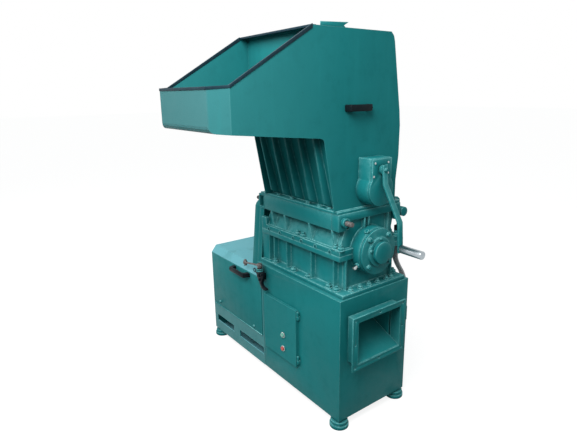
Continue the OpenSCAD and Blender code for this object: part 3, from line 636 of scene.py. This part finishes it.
# %% Steel finishes
# Oil in corners is also painted shade; bright edges are bare metal and a painted highlight.
OIL_AND_SHADE, BARE_EDGE_AND_GLINT = (0.03, 0.028, 0.026, 1), (0.8, 0.82, 0.84, 1)


def steel(name, colour, roughness, stretch, rust, rust_colour=(0.10, 0.042, 0.03, 1)):
    """Metal with drawn lines, stains, bare edges with a painted highlight, oil and painted shade in
    corners, and a share of it rusted.
    """
    tree, shader = start_finish(name)
    lines = place_group(tree, "drawn lines", Stretch=stretch, Depth=1.0)
    edge = place_group(tree, "edge wear and highlight", Width=0.001, Amount=0.6, Break_Up=90.0)
    corner = place_group(tree, "corner grime and shade", Reach=0.01, Amount=0.7)
    tarnish = tuple(c * 0.62 for c in colour[:3]) + (1,)
    stained = blend_colour(tree, times(tree, lines.outputs["Stains"], 0.6), colour, tarnish)
    metal = layer_colours(tree, stained, (corner, OIL_AND_SHADE), (edge, BARE_EDGE_AND_GLINT))
    spots = ramp(tree, cloud(tree, 70.0, 6.0, 0.7), 0.62 - rust * 0.5, 0.78 - rust * 0.5)
    rusted = times(tree, spots, min(1.0, rust * 1.4))
    brushed = ramp(tree, lines.outputs["Lines"], 0.3, 0.7, roughness, roughness + 0.14)
    finish_up(tree, shader, lines.outputs["Lines"], 0.1 * MM,
              Base_Color=blend_colour(tree, rusted, metal, rust_colour),
              Roughness=calc(tree, "ADD", brushed, times(tree, rusted, 0.4)),
              Metallic=calc(tree, "SUBTRACT", 1.0, rusted))


steel("bright_steel", (0.42, 0.47, 0.50, 1), 0.27, (9.0, 260.0, 260.0), rust=0.06)
steel("zinc_bolt", (0.50, 0.57, 0.57, 1), 0.34, (120.0, 120.0, 120.0), rust=0.04)
steel("ground_knife", (0.50, 0.51, 0.53, 1), 0.34, (14.0, 420.0, 420.0), rust=0.12)
steel("rusty_thread", (0.19, 0.18, 0.175, 1), 0.45, (60.0, 200.0, 200.0), rust=0.42,
      rust_colour=(0.055, 0.046, 0.042, 1))

# %% [markdown]
# ## Finishing the CAD nodes
# Each CAD object keeps its mesh and gets a finish in its material slot. A dictionary from
# finish to nodes keeps the choice easy to read and to change.

# %% Finishes of the CAD nodes
NODES_OF_FINISH = {
    "sheet_enamel": ["base_cabinet", "discharge_chute", "discharge_slide", "belt_guard",
                     "guard_back_plate", "cable_entry", "hopper_back_sheet", "neck_front_sheet",
                     "hopper_top_lug", "crank_arm", "door_hinges"],
    "hopper_enamel": ["hopper_side_sheets", "hopper_floor_sheet", "hopper_baffle"],
    "panel_enamel": ["motor_access_panel", "control_door"],
    "casting_enamel": ["lower_chamber", "upper_chamber", "frame_long_beams", "frame_end_bars",
                       "bearing_plates", "bearing_flange", "bearing_cap", "frame_lock_bosses",
                       "hinge_lugs", "neck_ribs", "hopper_flange", "foot_pads",
                       "gear_housing", "gear_cover"],
    "hood_enamel": ["motor_compartment"],
    "faded_and_sheen_enamel": ["hopper_front_sheet"],
    "black_moulding": ["access_panel_handle", "clamp_body", "limit_switch", "hopper_handle"],
    "slate_rubber": ["hopper_trim"],
    "bright_steel": ["hinge_pins", "crank_grip"],
    "ground_knife": ["rotor"],
    "rusty_thread": ["frame_lock_studs", "clamp_lever"],
    "green_lens": ["start_button"],
    "red_cap": ["stop_button"],
    "grey_sleeve": ["control_conduits"],
}
for finish_name, names in NODES_OF_FINISH.items():
    for name in names:
        for slot in nodes[name].material_slots:
            slot.material = finish[finish_name]
unfinished = set(nodes) - {n for names in NODES_OF_FINISH.values() for n in names}
print("nodes without a finish:", sorted(unfinished))

# %% [markdown]
# ### Rounding the edges
# No real edge is sharp, and it is the narrow highlight along a rounded edge that makes
# steel look heavy. The CAD meshes are loose triangles, so three modifiers do the work
# without touching them: Weld joins the corners, Decimate in planar mode clears the
# triangles off the flats, and Bevel rounds what is left by angle. A small Geometry Nodes
# tree then smooths the curved faces and keeps real corners crisp.

# %% Smooth shading as a modifier
SMOOTH_BELOW, BEVEL_ABOVE = 28, 32
smooth_tree = bpy.data.node_groups.new("smooth by angle", "GeometryNodeTree")
for way in ("INPUT", "OUTPUT"):
    smooth_tree.interface.new_socket("Geometry", in_out=way, socket_type="NodeSocketGeometry")
entry = add_node(smooth_tree, "NodeGroupInput")
bend = add_node(smooth_tree, "GeometryNodeInputMeshEdgeAngle")
gentle = add_node(smooth_tree, "FunctionNodeCompare",
                  {"A": bend.outputs["Unsigned Angle"], "B": math.radians(SMOOTH_BELOW)},
                  data_type="FLOAT", operation="LESS_THAN")
all_faces = add_node(smooth_tree, "GeometryNodeSetShadeSmooth", {"Geometry": entry.outputs[0]},
                     domain="FACE")
soft_edges = add_node(smooth_tree, "GeometryNodeSetShadeSmooth",
                      {"Geometry": all_faces.outputs[0], "Shade Smooth": gentle.outputs[0]},
                      domain="EDGE")
add_node(smooth_tree, "NodeGroupOutput", {0: soft_edges.outputs[0]})


def add_modifier(node, title, kind, **settings):
    """One modifier with its settings."""
    modifier = node.modifiers.new(title, kind)
    for key, value in settings.items():
        setattr(modifier, key, value)


def round_edges(node, width):
    """Weld, clear the flats, bevel by angle and smooth, all as modifiers on a CAD node."""
    add_modifier(node, "weld", "WELD", merge_threshold=0.02 * MM)
    add_modifier(node, "clear flats", "DECIMATE", decimate_type="DISSOLVE",
                 angle_limit=math.radians(0.4))
    add_modifier(node, "round edges", "BEVEL", limit_method="ANGLE", width=width * MM,
                 angle_limit=math.radians(BEVEL_ABOVE), segments=2, use_clamp_overlap=True)
    add_modifier(node, "smooth", "NODES", node_group=smooth_tree)


NODES_OF_RADIUS = {
    0.8: ["clamp_lever", "hopper_top_lug"],
    1.0: ["motor_access_panel", "hinge_pins", "neck_ribs", "door_hinges"],
    1.2: ["discharge_chute", "guard_back_plate"],
    1.5: ["frame_lock_bosses", "limit_switch", "cable_entry", "hopper_flange"],
    1.6: ["lower_chamber", "upper_chamber", "hopper_trim", "crank_arm"],
    2.0: ["bearing_plates", "bearing_flange", "hinge_lugs", "gear_cover",
          "start_button", "stop_button"],
    2.5: ["frame_long_beams", "frame_end_bars", "bearing_cap", "foot_pads"],
    3.0: ["base_cabinet", "clamp_body", "gear_housing"],
    4.0: ["access_panel_handle", "crank_grip"],
    4.5: ["hopper_handle"],
    5.0: ["belt_guard"],
}
for width, names in NODES_OF_RADIUS.items():
    for name in names:
        round_edges(nodes[name], width)
print(sum(map(len, NODES_OF_RADIUS.values())), "nodes have rounded edges")

# %% [markdown]
# ## Bolts and nuts
# The chamber is held together by rows of hexagon bolts. Each head starts as a six sided
# cone of equal ends, its top edges are bevelled to the turned chamfer that every real head
# has, a round washer goes under it and the thread's end stands out of a nut. One helper
# adds a whole bolt to a bmesh, so a row of them becomes one piece.

# %% Bolt helper
dice = random.Random(7)


def facing(place, axis, spin=0.0):
    """The matrix that stands a shape, drawn up +Z, on a place along an axis."""
    turn = axis.to_track_quat("Z", "Y").to_matrix().to_4x4()
    return Matrix.Translation(place) @ turn @ Matrix.Rotation(spin, 4, "Z")


def add_plug(bm, matrix, radius, low, high, sides):
    """A round or many sided plug between two heights; returns its vertices and its up."""
    shift = Matrix.Translation((0, 0, (low + high) / 2 * MM))
    made = bmesh.ops.create_cone(bm, cap_ends=True, segments=sides, radius1=radius * MM,
                                 radius2=radius * MM, depth=(high - low) * MM,
                                 matrix=matrix @ shift)["verts"]
    return made, (matrix.to_3x3() @ Z_AXIS).normalized()


def add_disc(bm, matrix, radius, low, high, sides, chamfer):
    """A plug with its top rim bevelled, all sizes in millimetres."""
    made, up = add_plug(bm, matrix, radius, low, high, sides)
    top = matrix @ Vector((0, 0, high * MM))
    rim = {e for v in made for e in v.link_edges
           if all(abs((w.co - top).dot(up)) < 1e-6 for w in e.verts)}
    bmesh.ops.bevel(bm, geom=list(rim), offset=chamfer * MM, segments=1, profile=0.5,
                    affect="EDGES", material=-1)


def add_bolt(bm, place, axis, flats, washer=True, thread=0.0):
    """A hexagon head, flats across in millimetres, on a washer, with a thread end."""
    matrix = facing(place, axis, dice.uniform(0, math.pi / 3))
    base = flats * 0.12 if washer else 0.0
    top = base + flats * 0.42
    if washer:
        add_disc(bm, matrix, flats * 0.68, 0.0, base, 20, flats * 0.04)
    add_disc(bm, matrix, flats * 0.577, base, top, 6, flats * 0.09)
    if thread:
        add_disc(bm, matrix, flats * 0.30, top - flats * 0.02, top + thread, 12, flats * 0.05)


def bolt_row(name, body, finish_name, places, axis, flats, washer=True, thread=0.0):
    """A piece made of equal bolts, their places in millimetres from the datum."""
    bm = bmesh.new()
    for place in places:
        add_bolt(bm, at(*place), axis, flats, washer, thread)
    keep_piece(bm, name, body, finish_name)

# %% [markdown]
# ### Where the bolts go
# The bottom flange is held down by nuts between the ribs at the front and back, and by a
# closer row along the end. The middle flange, where the chamber opens to change knives,
# has heavy bolts standing on it and a row of adjusting screws let into its front face.

# %% Chamber bolts
BOTTOM_FLANGE, SPLIT_FLANGE = 18, 25.4
chamber_low, chamber_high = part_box("lower_chamber")
base_top = chamber_low.z / MM + BOTTOM_FLANGE
flange_top = chamber_high.z / MM + SPLIT_FLANGE
FRONT_NUTS, FRONT_NUT_Y = [58, 214, 328, 478, 530], 186
END_NUTS, END_NUT_X = [-138, -79, -21, 34, 95, 128], 572
JOINT_BOLTS, JOINT_BOLT_Y = [242, 282, 514, 546], 178
for name, places, flats, thread in (
        ("bottom_flange_nuts",
         [(x, y, base_top) for x in FRONT_NUTS for y in (-FRONT_NUT_Y, FRONT_NUT_Y)], 28, 9),
        ("end_flange_nuts", [(END_NUT_X, y, base_top) for y in END_NUTS], 21, 7),
        ("middle_flange_bolts",
         [(x, y, flange_top) for x in JOINT_BOLTS for y in (-JOINT_BOLT_Y, JOINT_BOLT_Y)], 27, 11)):
    bolt_row(name, "machine", "casting_enamel", places, Z_AXIS, flats, thread=thread)

# %% [markdown]
# The adjusting screws sit in shallow pockets: a turned collar, a painted bottom and a small
# socket head. The hole in a head is made by insetting its top face and pushing that down.
# A collar is a rectangle, its corners cut, that the spin operator takes all the way round.

# %% Screws and collars
def add_socket_screw(bm, place, axis, head, height):
    """A round head with a hole in it, its radius and height in millimetres."""
    matrix = facing(place, axis, dice.uniform(0, math.pi))
    made, up = add_plug(bm, matrix, head, 0.0, height, 18)
    top_face = max({f for v in made for f in v.link_faces},
                   key=lambda f: f.calc_center_median().dot(up))
    bmesh.ops.inset_individual(bm, faces=[top_face], thickness=head * MM * 0.45)
    bmesh.ops.translate(bm, verts=top_face.verts, vec=-up * height * MM * 0.7)


def turn_round(bm, outline, steps):
    """Spins an outline all the way round Z, as a lathe turns it."""
    bmesh.ops.spin(bm, geom=outline, cent=(0, 0, 0), axis=(0, 0, 1), angle=2 * math.pi,
                   steps=steps, use_merge=True)
    bmesh.ops.recalc_face_normals(bm, faces=bm.faces)


def add_collar(bm, place, axis, outer, inner, height, sides=28):
    """A turned ring with its outer corners cut, sizes in millimetres."""
    cut = min(outer - inner, height) * 0.3
    corners = [(inner, 0), (outer, 0), (outer, height - cut), (outer - cut, height),
               (inner + cut, height), (inner, height - cut)]
    small = bmesh.new()
    ring = [small.verts.new((r * MM, 0, z * MM)) for r, z in corners]
    edges = [small.edges.new((a, b)) for a, b in zip(ring, ring[1:] + ring[:1])]
    turn_round(small, ring + edges, sides)
    bmesh.ops.transform(small, matrix=facing(place, axis), verts=small.verts)
    join_into(bm, small)


def join_into(bm, small):
    """Adds a finished small bmesh to a big one, and frees the small one."""
    mesh = finished_mesh(small, "part")
    bm.from_mesh(mesh)
    bpy.data.meshes.remove(mesh)


ADJUSTING_SCREWS = [7, 105, 219, 283, 388, 489]
SPLIT_FACE_Y, SPLIT_Z = 191, 849
pockets = [(at(x, side * SPLIT_FACE_Y, SPLIT_Z), Y_AXIS * side)
           for x in ADJUSTING_SCREWS for side in (-1, 1)]
collars, bottoms, heads = bmesh.new(), bmesh.new(), bmesh.new()
for place, axis in pockets:
    add_collar(collars, place, axis, 11.5, 9.6, 2.0)
    add_disc(bottoms, facing(place, axis), 10.0, -0.2, 0.7, 24, 0.2)
    add_socket_screw(heads, place, axis, 4.8, 1.8)
keep_piece(collars, "screw_collars", "machine", "casting_enamel")
keep_piece(bottoms, "screw_pockets", "machine", "casting_enamel")
# The black heads are black screws and also paint the shade deep in each pocket.
keep_piece(heads, "adjusting_screws", "machine", "black_moulding")

# %% [markdown]
# ### Bearing bolts
# Four bolts hold the cover to the round housing and four small ones hold the ring on it.
# They stand on two circles round the rotor's axis.

# %% Bolts on circles
def ring_bolts(name, x, radius, angles, flats):
    """Bolts round the rotor's axis, their angles from straight up towards the back."""
    places = [(x, radius * math.sin(turn), ROTOR_Z + radius * math.cos(turn))
              for turn in map(math.radians, angles)]
    bolt_row(name, "machine", "casting_enamel", places, X_AXIS, flats)


ring_bolts("bearing_flange_bolts", 606, 89, (-43, 40, 130, -134), 19)
ring_bolts("bearing_ring_bolts", 616, 60, (0, 90, 180, -76), 11)

# %% [markdown]
# ### Bolts on the tilting part
# The hopper stands on its flange with a row of bolts in front of the neck. The gear case
# has four bright screws in its cover plate.

# %% Hopper bolts
flange_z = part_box("hopper_side_sheets")[0].z / MM
bolt_row("neck_ledge_bolts", "hopper", "casting_enamel",
         [(x, -181, flange_z) for x in (90, 199, 324, 408, 470)], Z_AXIS, 17)
bolt_row("back_ledge_bolts", "hopper", "casting_enamel",
         [(x, 184, flange_z) for x in (110, 199, 324, 408)], Z_AXIS, 15)
gear_face = (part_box("gear_cover")[1] - DATUM).x / MM
GEAR_BOLTS = [(-57, 1246), (23, 1245), (22, 1199), (-64, 1190)]
bolt_row("gear_cover_bolts", "hopper", "zinc_bolt",
         [(gear_face, y, z) for y, z in GEAR_BOLTS], X_AXIS, 9, washer=False)

# %% [markdown]
# ## Small hardware
# What is left is what hands touch: the bezels of the two push buttons, the screws of the
# panel and the handles, the nut on the crank, the grease nipples of the bearing and the
# fittings of the clamp.

# %% Doors, panels and handles
def millimetres(name):
    """The low and the high corner of a node's box, from the maker's datum."""
    low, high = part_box(name)
    return (low - DATUM) / MM, (high - DATUM) / MM


door_front = millimetres("control_door")[0].y
bm = bmesh.new()
for name in ("start_button", "stop_button"):
    low, high = millimetres(name)
    middle = at((low.x + high.x) / 2, door_front + 0.2, (low.z + high.z) / 2)
    add_collar(bm, middle, -Y_AXIS, 15.2, 11.4, 6.2, sides=36)
keep_piece(bm, "button_bezels", "door", "zinc_bolt")

panel_low, panel_high = millimetres("motor_access_panel")
bolt_row("panel_screws", "machine", "casting_enamel",
         [(x, panel_low.y, z) for x, z in ((-510, 255), (-114, 247))], -Y_AXIS, 13)
bm = bmesh.new()
strip = facing(at(panel_low.x + 1, panel_low.y + 1.2, panel_low.z + 0.5), X_AXIS)
add_disc(bm, strip, 3.2, 0.0, panel_high.x - panel_low.x - 2, 12, 0.6)
keep_piece(bm, "panel_drip_edge", "machine", "casting_enamel", 50)

for name, body in (("access_panel_handle", "machine"), ("hopper_handle", "hopper")):
    low, high = millimetres(name)
    middle_z = (low.z + high.z) / 2
    bm = bmesh.new()
    for share in (0.11, 0.89):
        spot = low.lerp(high, share)
        if body == "machine":
            place, axis = (spot.x, low.y + 0.1, middle_z), -Y_AXIS
        else:
            place, axis = (high.x - 0.1, spot.y, middle_z), X_AXIS
        add_socket_screw(bm, at(*place), axis, 4.6, 1.0)
    keep_piece(bm, name + "_screws", body, "black_moulding")

# %% [markdown]
# The nut that holds the crank stands on the outer face of its hub. The bearing housing has
# two hexagon plugs that stand on it like spokes, and the lower one carries a grease nipple.

# %% Crank nut and nipples
CRANK_Y, CRANK_Z, ARM_FACE = -14, 1216, 642
bm = bmesh.new()
add_bolt(bm, at(ARM_FACE, CRANK_Y, CRANK_Z), X_AXIS, 14)
keep_piece(bm, "crank_nut", "crank", "casting_enamel")

housing_r = millimetres("bearing_plates")[1].y
feet, nipples = bmesh.new(), bmesh.new()
for x, angle in ((574, -118), (584, -30)):
    spoke = Vector((0, math.sin(math.radians(angle)), math.cos(math.radians(angle))))
    matrix = facing(at(x, 0, ROTOR_Z) + spoke * (housing_r - 1) * MM, spoke)
    add_disc(feet, matrix, 13.0, 0.0, 10.0, 6, 1.5)
    if angle < -90:
        add_disc(nipples, matrix, 6.5, 9.0, 22.0, 14, 0.8)
        add_disc(nipples, matrix, 8.5, 20.0, 31.0, 16, 2.8)
keep_piece(feet, "nipple_feet", "machine", "casting_enamel")
keep_piece(nipples, "grease_nipples", "machine", "zinc_bolt")

# %% [markdown]
# The clamp's head carries two collars, its cheek two bolts and a side nut, and a pull ring
# hangs from a pin. The ring is a circle spun round, as the collars are. The tommy bar ends
# in a short cross piece, which turns with it.

# %% Clamp fittings
CLAMP_X, CLAMP_Y, CHEEK_FACE, NUT_Z = -6, -247, -255, 611
bm = bmesh.new()
add_collar(bm, at(CLAMP_X, CLAMP_Y, 621.5), Z_AXIS, 20, 14.2, 6)
add_collar(bm, at(CLAMP_X, CLAMP_Y, 631), Z_AXIS, 18, 14.2, 5)
keep_piece(bm, "clamp_collars", "machine", "casting_enamel")
bm = bmesh.new()
for x, z, flats in ((4, 602, 16), (4, 577, 12)):
    add_bolt(bm, at(x, CHEEK_FACE, z), -Y_AXIS, flats, thread=3)
add_bolt(bm, at(-30, CLAMP_Y, NUT_Z), -X_AXIS, 15, thread=9)
add_disc(bm, facing(at(26, CHEEK_FACE, NUT_Z + 1), -Y_AXIS), 6.0, -1.0, 9.0, 14, 1.0)
keep_piece(bm, "clamp_fittings", "machine", "black_moulding")

bm = bmesh.new()
RING_R, WIRE_R = 10.5 * MM, 2.4 * MM
ring = bmesh.ops.create_circle(bm, segments=10, radius=WIRE_R)["verts"]
wheel = Matrix.Translation((RING_R, 0, 0)) @ Matrix.Rotation(math.pi / 2, 4, "X")
bmesh.ops.transform(bm, matrix=wheel, verts=ring)
turn_round(bm, ring + list(bm.edges), 24)
bmesh.ops.transform(bm, matrix=facing(at(-57, CLAMP_Y, NUT_Z), -Y_AXIS), verts=bm.verts)
keep_piece(bm, "pull_ring", "machine", "black_moulding", 50)

ball_low = millimetres("clamp_lever")[0]
bar_end = at(ball_low.x + 13, CLAMP_Y, ball_low.z + 13)
bm = bmesh.new()
add_disc(bm, facing(bar_end, Vector((-0.16, 0, 0.987))), 8.5, -17.0, 17.0, 18, 2.0)
keep_piece(bm, "tommy_bar_cross", "clamp", "rusty_thread")

# %% [markdown]
# Each wiring sleeve leaves the switch through a gland, and the switch is held by two screws.

# %% Glands
switch_low = millimetres("limit_switch")[0]
bm = bmesh.new()
for x, y in SLEEVE_STARTS:
    add_disc(bm, facing(at(x, y, switch_low.z + 0.5), -Z_AXIS), 5.95, 0.0, 10.0, 12, 1.0)
for x in (526, 542):
    add_socket_screw(bm, at(x, switch_low.y, switch_low.z + 60), -Y_AXIS, 4, 2)
keep_piece(bm, "sleeve_glands", "machine", "black_moulding")

# %% [markdown]
# ## Weld beads
# The ribs on the neck and the chamber are flat bars welded along both sides. A bead is a
# string of overlapping ripples, one for each small step of the welder's hand. It is made
# like the sleeves: one ring is extruded along the joint, and every third ring is pinched.
# The widths and the line wander a little, as they do by hand. Paint covers it all.

# %% Weld helper
RIPPLE, BEAD_SIDES = 6.5 * MM, 8


def add_bead(bm, start, end, radius):
    """A rippled bead between two places, with a radius in millimetres."""
    a, b = at(*start), at(*end)
    run = b - a
    steps = 3 * max(2, round(run.length / RIPPLE))
    turn = run.to_track_quat("Z", "Y").to_matrix().to_4x4()
    places = []
    for k in range(steps + 1):
        width = radius * (0.78, 1.0, 0.97)[k % 3] * dice.uniform(0.93, 1.07)
        if k in (0, steps):
            width = radius * 0.45
        wobble = Vector([dice.uniform(-0.07, 0.07) * radius * MM for _ in range(3)])
        places.append(Matrix.Translation(a.lerp(b, k / steps) + wobble) @ turn
                      @ Matrix.Diagonal((width, width, 1, 1)))
    small = bmesh.new()
    push_ring(small, MM, BEAD_SIDES, places)
    join_into(bm, small)

# %% Neck welds
NECK_RIBS = [74, 174, 274, 374, 474]
RIB_TOP, RIB_FOOT = (-248, 1353), (-164, 1046)
LEDGE_Z = 1043
bm = bmesh.new()
for x in NECK_RIBS:
    for edge in (x - 4, x + 4):
        add_bead(bm, (edge, *RIB_TOP), (edge, *RIB_FOOT), 3.0)
for x, y, end_x, end_y, radius in ((14, -163, 534, -163, 4.0), (9, -205, 9, 168, 3.5),
                                   (539, -205, 539, 168, 3.5), (14, 172, 534, 172, 3.5)):
    add_bead(bm, (x, y, LEDGE_Z), (end_x, end_y, LEDGE_Z), radius)
keep_piece(bm, "neck_welds", "hopper", "casting_enamel", 50)

# %% [markdown]
# The chamber's ribs and gussets get the same beads, front and back, and a bead closes each
# wall against its flanges.

# %% Chamber welds
CHAMBER_RIBS = [35, 146, 340, 500]
WALL_Y, RIB_TOP_Z = 156, 815
GUSSET_FOOT, GUSSET_TOP = (175, 868), (143, 951)
bm = bmesh.new()
for side in (-1, 1):
    wall = side * WALL_Y
    for x in CHAMBER_RIBS:
        for edge in (x, x + 8):
            add_bead(bm, (edge, wall, base_top), (edge, wall, RIB_TOP_Z), 3.2)
        for edge in (x, x + 10):
            add_bead(bm, (edge, side * GUSSET_FOOT[0], GUSSET_FOOT[1]),
                     (edge, side * GUSSET_TOP[0], GUSSET_TOP[1]), 3.2)
    add_bead(bm, (6, wall, base_top), (534, wall, base_top), 3.6)
    add_bead(bm, (0, side * 176, 867), (534, side * 176, 867), 3.4)
add_collar(bm, at(534.2, 0, ROTOR_Z), X_AXIS, housing_r + 4, housing_r - 1, 5, sides=72)
for y in (-152, -144, 144, 152):
    add_bead(bm, (535, y, base_top), (535, y, RIB_TOP_Z), 3.0)
add_bead(bm, (535, -140, base_top), (535, 140, base_top), 3.6)
keep_piece(bm, "chamber_welds", "machine", "casting_enamel", 50)

# %% [markdown]
# ## Threads
# The two locking studs at the ends of the frame are long threads with no nut. A thread is
# a small ridge wound round a rod, and the spin operator makes that in one go: its `dvec`
# moves the profile along the axis at every step, so the ring opens into a helix.

# %% Thread helper
def add_thread(bm, start, axis, length, radius, pitch, core=0.86, steps=16):
    """A rod with a helical ridge, lengths in millimetres."""
    matrix = facing(at(*start), axis)
    add_disc(bm, matrix, radius * core, 0.0, length, 20, radius * 0.12)
    turns = int(length / pitch - 1.5)
    rod = set(bm.verts)
    outline = [bm.verts.new((radius * reach * MM, 0, rise * pitch * MM))
               for reach, rise in ((core, 0.15), (1, 0.5), (core, 0.85))]
    outline += [bm.edges.new(outline[:2]), bm.edges.new(outline[1:])]
    bmesh.ops.spin(bm, geom=outline, cent=(0, 0, 0), axis=(0, 0, 1),
                   dvec=(0, 0, pitch * MM / steps), angle=2 * math.pi * turns,
                   steps=steps * turns)
    ridge = [v for v in bm.verts if v not in rod]
    bmesh.ops.recalc_face_normals(bm, faces=list({f for v in ridge for f in v.link_faces}))
    bmesh.ops.transform(bm, matrix=matrix, verts=ridge)

# %% Locking studs
STUD_Y, STUD_Z = -167, 994
bm = bmesh.new()
add_thread(bm, (553.3, STUD_Y, STUD_Z), X_AXIS, 54.5, 10.9, 3.2)
add_thread(bm, (-70.3, STUD_Y, STUD_Z), -X_AXIS, 54.5, 10.9, 3.2)
lock_studs = keep_piece(bm, "lock_stud_threads", "machine", "rusty_thread", 40)
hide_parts("frame_lock_studs")
